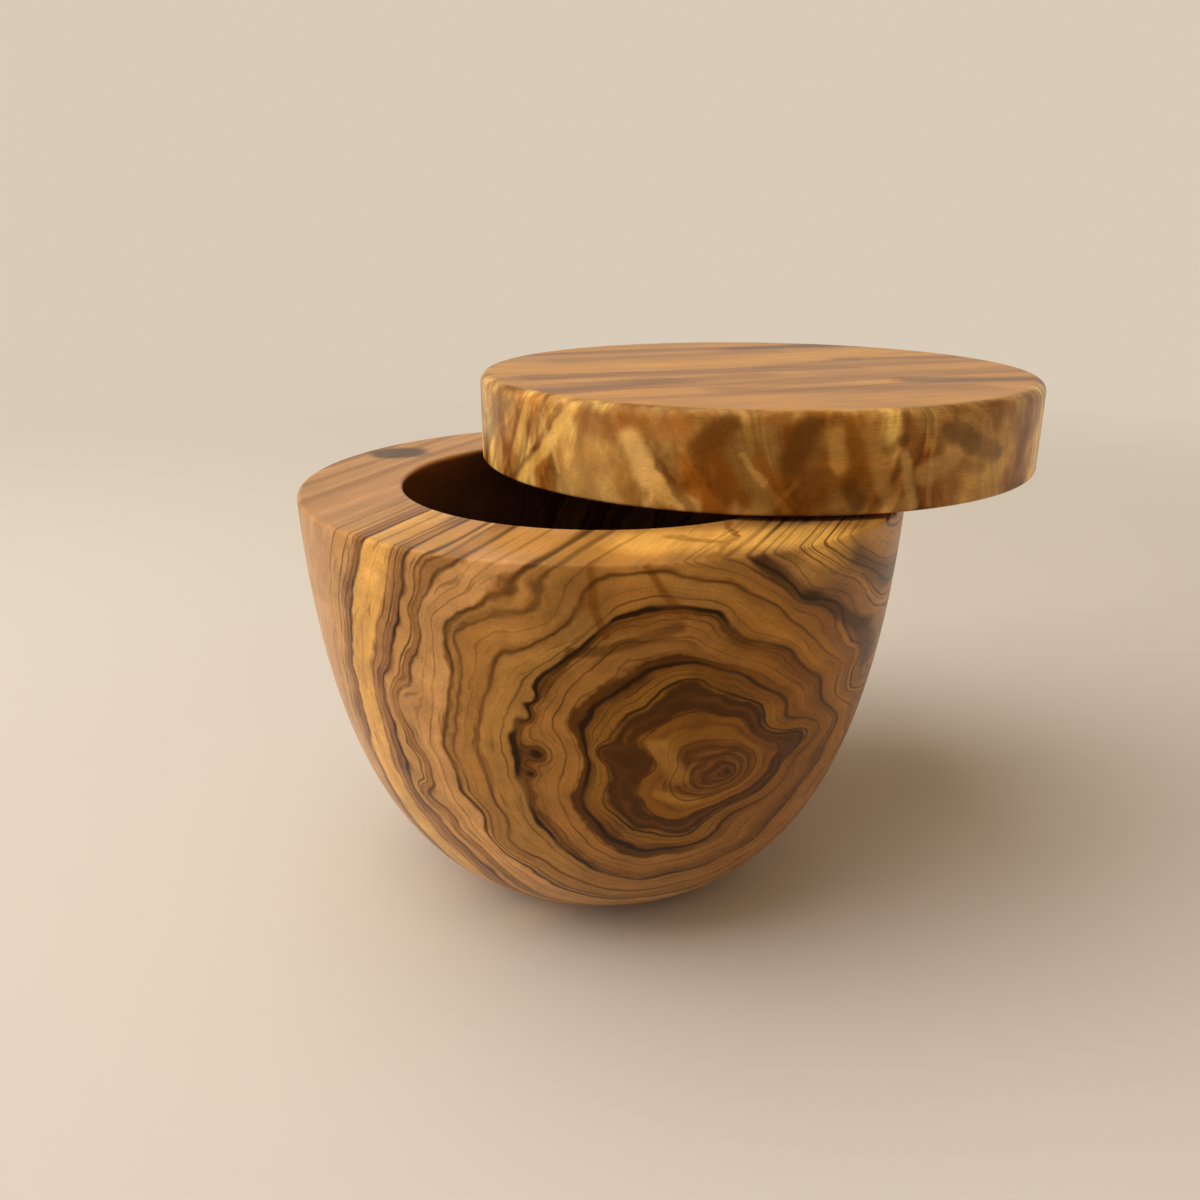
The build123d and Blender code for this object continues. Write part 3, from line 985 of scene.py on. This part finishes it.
# %% Lid: streaks on the top
lid_top_strokes = (
    ((8, 36.5), (40, 40), 6.5, "#552F13", 0.85), ((-52, 5), (5, 14), 8.0, "#D08E32", 0.75),
    ((5, 14), (36, 26), 9.0, "#D29035", 0.75), ((-46, -6), (20, -3), 5.0, "#7A4618", 0.65),
    ((2, 0), (27, 10.5), 4.6, "#7A4618", 0.55), ((25, 10), (56, 12), 5.5, "#7E491B", 0.7),
    ((-52, -27), (-24, -15), 8.5, "#784418", 0.75), ((-27, -17), (-2, -11), 6.5, "#854F1E", 0.6),
    ((22, -23), (50, -27), 5.5, "#693A15", 0.75), ((-36, 20), (14, 31), 6.5, "#925A22", 0.6),
    ((-40, -40), (20, -44), 7.0, "#CC8A32", 0.55), ((-16, -29), (30, -34), 6.5, "#86511F", 0.55))
own = in_mm(tree, (lid_middle.x, lid_middle.y, lid_low.z))
brushed = swayed(tree, log, across=7.0, along=34.0, reach=(8.0, 8.0, 0.0), seed=25.0, detail=2.0,
                 moved=own)
tint = daubed(tree, brushed, tint, at_level(lid_top_strokes, lid_high.z - lid_low.z), hardness=0.0)
print("the top has", len(lid_top_strokes), "streaks")

# %% [markdown]
# The side of the lid cuts the fibres almost end on, which opens them into patches and flames.
# Three layers make it. Patches of noise give the brown and gold. Streaks a few millimetres wide
# run up the side and lean one way or the other, because the wood is twisted about the axis by a
# slowly changing amount. Cells with soft borders stand for the small facets that catch the light
# differently wherever the fibres wave.

# %% Lid: flames on the side
flame_stops = (
    (0.34, "#7A4612"), (0.44, "#AA7230"), (0.5, "#C08E4A"), (0.56, "#D2A456"), (0.66, "#E2BA66"))
twist_range = 0.08  # radians for each mm of height, from the strongest lean left to that right
facet_width = 6.0
facet_height = 10.0
facet_softness = 0.3
patch = figure(tree, own, across=8.0, along=13.0, seed=31.0, detail=3.0)
flame = add(tree, "ShaderNodeValToRGB", {"Fac": patch})
paint(flame, [(noise, linear(colour)) for noise, colour in flame_stops])
slant = figure(tree, own, across=16.0, along=40.0, seed=37.0, detail=0.0)
slant = add(tree, "ShaderNodeMath", (slant, twist_range, -twist_range / 2),
            operation="MULTIPLY_ADD")
height = add(tree, "ShaderNodeSeparateXYZ", {"Vector": own}).outputs["Z"]
twist = add(tree, "ShaderNodeMath", (height, slant), operation="MULTIPLY")
twisted = add(tree, "ShaderNodeVectorRotate", {"Vector": own, "Angle": twist},
              rotation_type="Z_AXIS")
streak = graded(tree, twisted, across=2.6, along=26.0, seed=41.0, detail=2.0,
                noise=(0.36, 0.64), result=(0.72, 1.22))
cells = add(tree, "ShaderNodeVectorMath", operation="MULTIPLY", sockets=(
    twisted, (1 / facet_width, 1 / facet_width, 1 / facet_height)))
facet = add(tree, "ShaderNodeTexVoronoi", feature="SMOOTH_F1", sockets={
    "Vector": cells, "Scale": 1.0, "Smoothness": facet_softness})
facet = add(tree, "ShaderNodeSeparateColor", {"Color": facet.outputs["Color"]}).outputs["Red"]
facet = add(tree, "ShaderNodeMapRange", {
    "Value": facet, "From Min": 0.15, "From Max": 0.85, "To Min": 0.7, "To Max": 1.28})
streak = add(tree, "ShaderNodeMath", (streak, facet), operation="MULTIPLY")
flame = add(tree, "ShaderNodeVectorMath", {"Vector": flame, "Scale": streak}, operation="SCALE")
print("facets are", facet_width, "by", facet_height, "mm")

# %% [markdown]
# The marks on the side are brushed on last. Each is written as one would measure it with a strip
# of paper round the lid: the direction from the axis in degrees, which is -90 at the front, and
# the height above the underside, for both ends. Then come the reach, the colour and the strength.

# %% Lid: marks on the side
lid_side_strokes = (
    (-137, 5, -137, 5, 11.0, "#DAA85C", 0.55), (-112, 8, -97, 7, 13.0, "#5E3002", 0.8),
    (-92, 9, -92, 9, 9.0, "#864E08", 0.6), (-66, 6, -66, 6, 14.0, "#BC8646", 0.5),
    (-139, 13.5, -130, 11.5, 3.6, "#9A6030", 0.7), (-131, 14, -121, 13.4, 3.0, "#B87636", 0.6),
    (-113, 14.5, -118, 10.5, 2.6, "#6A3C10", 0.8), (-130, 11, -126, 5, 3.0, "#ECBC6E", 0.8),
    (-126, 5, -120, 1, 2.4, "#E2B05E", 0.7), (-121, 9, -115, 1, 1.4, "#9A5A18", 0.6),
    (-115, 9, -110, 2, 1.6, "#7A420A", 0.7), (-108, 9, -103, 1, 1.8, "#8A4E10", 0.6),
    (-100, 14.5, -103, 8.5, 3.0, "#5E360C", 0.85), (-96, 13, -95, 8, 2.2, "#C8964C", 0.6),
    (-93, 4.6, -91.5, 2.4, 2.4, "#5A340C", 0.75), (-90, 13, -87, 4, 2.0, "#B88440", 0.6),
    (-84, 15.6, -84, 11.7, 1.8, "#7A5020", 0.7), (-84, 11.7, -87, 10.3, 1.4, "#5A3A18", 0.5),
    (-75, 12.6, -69, 10.6, 3.0, "#6E4822", 0.8), (-70, 10, -62, 8, 2.6, "#7E5830", 0.7),
    (-73, 7, -66, 5.6, 1.6, "#8E6236", 0.5), (-79, 6, -74, 8, 3.0, "#C89858", 0.6),
    (-56, 12, -52, 5, 3.0, "#946030", 0.6), (-47, 14, -45, 4, 3.0, "#B07838", 0.5),
    (-144.7, 15.3, -151.8, 6.7, 1.2, "#5A300C", 0.6), (-151.8, 6.7, -159, 0.6, 1.2, "#5A300C", 0.6),
    (-157, 13, -163, 0.3, 1.1, "#6A3E14", 0.6), (-142, 15, -149, 7, 1.8, "#EAB860", 0.8),
    (-149, 7, -157, 0.6, 1.5, "#E0AA50", 0.7), (-154, 14, -158, 6, 1.6, "#D8A44E", 0.6),
    (-150, 13, -145, 4, 0.8, "#EAC070", 0.3), (-168, 13, -166, 2, 2.6, "#A87844", 0.6),
    (-124.6, 7.7, -119, 0.5, 1.2, "#4E280A", 0.6), (-111, 9.7, -107, 5, 0.8, "#E0B060", 0.3),
    (-107, 5, -103, 1, 0.8, "#C89848", 0.2), (-105, 1.9, -101.4, 6, 0.8, "#C89848", 0.15),
    (-101.4, 6, -97, 7.5, 1.1, "#6E4212", 0.55), (-83.4, 9, -81.3, 1.1, 1.5, "#DCB068", 0.45),
    (-78.6, 11, -78, 1, 0.8, "#D4A45C", 0.3), (-133, 7, -130, 1, 1.2, "#B07430", 0.45))
lid_radius = (lid_high.x - lid_low.x) / 2


def lid_side_place(azimuth, height):
    """A place on the lid's side: degrees round its axis, and mm above its underside."""
    turn = math.radians(azimuth)
    return Vector((math.cos(turn) * lid_radius, math.sin(turn) * lid_radius, height))


jittered = swayed(tree, own, across=3.0, along=3.0, reach=(1.6, 1.6, 1.6), seed=43.0, detail=2.0)
side_marks = [
    (lid_side_place(start_turn, start_height), lid_side_place(end_turn, end_height), *look)
    for start_turn, start_height, end_turn, end_height, *look in lid_side_strokes]
flame = daubed(tree, jittered, flame, side_marks, hardness=0.28)
print("the side has", len(side_marks), "marks")

# %% [markdown]
# Top and side meet on the rounded edge. How far a point is from the lid's axis says which of the
# two it shows, with a soft change over the outermost millimetres. The pigment lines belong to the
# long grain alone, so they fade out there too.

# %% Lid: top and side together
side_start = lid_radius - 2.4
side_end = lid_radius - 1.0
flat = add(tree, "ShaderNodeVectorMath", (own, (1.0, 1.0, 0.0)), operation="MULTIPLY")
radius = add(tree, "ShaderNodeVectorMath", (flat,), operation="LENGTH")
on_side = add(tree, "ShaderNodeMapRange", {
    "Value": radius, "From Min": side_start, "From Max": side_end})
on_faces = add(tree, "ShaderNodeMath", (1.0, on_side), operation="SUBTRACT")
tint = add(tree, "ShaderNodeMix", {"Factor": on_side, "A": tint, "B": flame}, data_type="RGBA")
line = add(tree, "ShaderNodeMath", (line, on_faces), operation="MULTIPLY")
oiled(tree, shader, log, tint, line, "#33190B")
print("lid wood has", len(tree.nodes), "nodes")

# %% [markdown]
# The lid is a plain disc from the same lathe. Its top edge is rounded for the hand and its lower
# edge only broken. The hole for the pin goes up from below, as deep as the pin is pressed in, and
# its place is read off the measured pin.

# %% Lid: the turning
lid_top_round = 2.0
lid_under_edge = 0.5
face_steps = 24
round_steps = 12


def lid_profile():
    """The outline of half the lid, from the middle of its underside round to the middle of its top."""
    under_turn = Vector((lid_radius - lid_under_edge, lid_low.z + lid_under_edge))
    top_turn = Vector((lid_radius - lid_top_round, lid_high.z - lid_top_round))
    return (straight(Vector((0.0, lid_low.z)), Vector((under_turn.x, lid_low.z)), face_steps)
            + corner(under_turn, lid_under_edge, -90, 0)
            + straight(Vector((lid_radius, under_turn.y)), Vector((lid_radius, top_turn.y)))
            + corner(top_turn, lid_top_round, 0, 90, round_steps)
            + straight(Vector((top_turn.x, lid_high.z)), Vector((0.0, lid_high.z)), face_steps))


pin_low, pin_high = [box_corner / mm for box_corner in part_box("pivot_pin")]
pin_middle = (pin_low + pin_high) / 2
pin_radius = (pin_high.x - pin_low.x) / 2
pin_seat = Vector((pin_middle.x, pin_middle.y, lid_low.z - drill_clearance)) * mm
lid = turned("turned_lid", lid_profile(), Vector((lid_middle.x, lid_middle.y, 0.0)) * mm, pin_seat,
             (pin_radius - press_squeeze) * mm,
             (pin_high.z - lid_low.z + drill_clearance) * mm, lid_wood)
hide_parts("lid")
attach(lid, "lid")

# %% [markdown]
# The pivot is bought in and stays as it was measured: a ground steel pin, a brass bush that was
# turned on a small lathe, and a thin washer of dark nylon between the two woods. Little of them
# shows in the gap under the lid, so each finish is short. Both metals carry the marks of their
# tool, which are fine bands round the pivot's axis, and a few duller clouds where hands and oil
# have touched them.

# %% The pivot's metals
mark_relief = 0.01 * mm
mark_spread = 8.0  # mm over which a mark changes as it goes round
roughness_range = 0.15


def pivot_metal(name, colour, mark_height, roughness):
    """Turned or ground metal with fine bands round the pivot's axis, each so many mm high."""
    metal, tree, shader = material(name)
    own = in_mm(tree, (pin_middle.x, pin_middle.y, 0.0))
    band = figure(tree, own, mark_spread, mark_height, seed=51.0, detail=3.0)
    shade = add(tree, "ShaderNodeMapRange", {
        "Value": band, "From Min": usual_noise[0], "From Max": usual_noise[1],
        "To Min": 0.85, "To Max": 1.1})
    worn = graded(tree, own, across=1.5, along=1.5, seed=53.0, detail=3.0,
                  noise=(0.35, 0.7), result=(1.05, 0.8))
    shade = add(tree, "ShaderNodeMath", (shade, worn), operation="MULTIPLY")
    tint = add(tree, "ShaderNodeVectorMath", {"Vector": linear(colour)[:3], "Scale": shade},
               operation="SCALE")
    rough = add(tree, "ShaderNodeMapRange", {
        "Value": band, "From Min": usual_noise[0], "From Max": usual_noise[1],
        "To Min": roughness, "To Max": roughness + roughness_range})
    bump = add(tree, "ShaderNodeBump", {"Strength": 0.4, "Distance": mark_relief, "Height": band})
    connected(tree, shader, tint, rough, bump)
    shader.inputs["Metallic"].default_value = 1.0
    return metal


finishes = {
    "pivot_pin": pivot_metal("ground steel", "#C9C8C5", mark_height=0.15, roughness=0.22),
    "pivot_bush": pivot_metal("turned brass", "#D9B066", mark_height=0.25, roughness=0.26)}
print("the marks of the tools are", mark_relief / mm, "mm deep")

# %% [markdown]
# The washer is moulded nylon, nearly black. Moulded nylon has a fine grain from its mould and
# cloudy patches of greyer bloom, where the plastic has cooled more slowly. Each measured piece
# keeps its mesh and only gets its new finish in its material slot.

# %% The pivot's washer
nylon_grain_relief = 0.02 * mm
nylon, tree, shader = material("moulded nylon")
own = in_mm(tree)
bloom = figure(tree, own, across=2.5, along=2.5, seed=57.0, detail=4.0)
grain = figure(tree, own, across=0.25, along=0.25, seed=59.0, detail=1.0)
tint = add(tree, "ShaderNodeMix", {"Factor": bloom, "A": linear("#3A3733"), "B": linear("#494540")},
           data_type="RGBA")
rough = add(tree, "ShaderNodeMapRange", {"Value": bloom, "To Min": 0.45, "To Max": 0.7})
bump = add(tree, "ShaderNodeBump", {
    "Strength": 0.5, "Distance": nylon_grain_relief, "Height": grain})
connected(tree, shader, tint, rough, bump)
finishes["pivot_washer"] = nylon
for name, finish in finishes.items():
    nodes[name].material_slots[0].material = finish
    print(name, "is", finish.name)
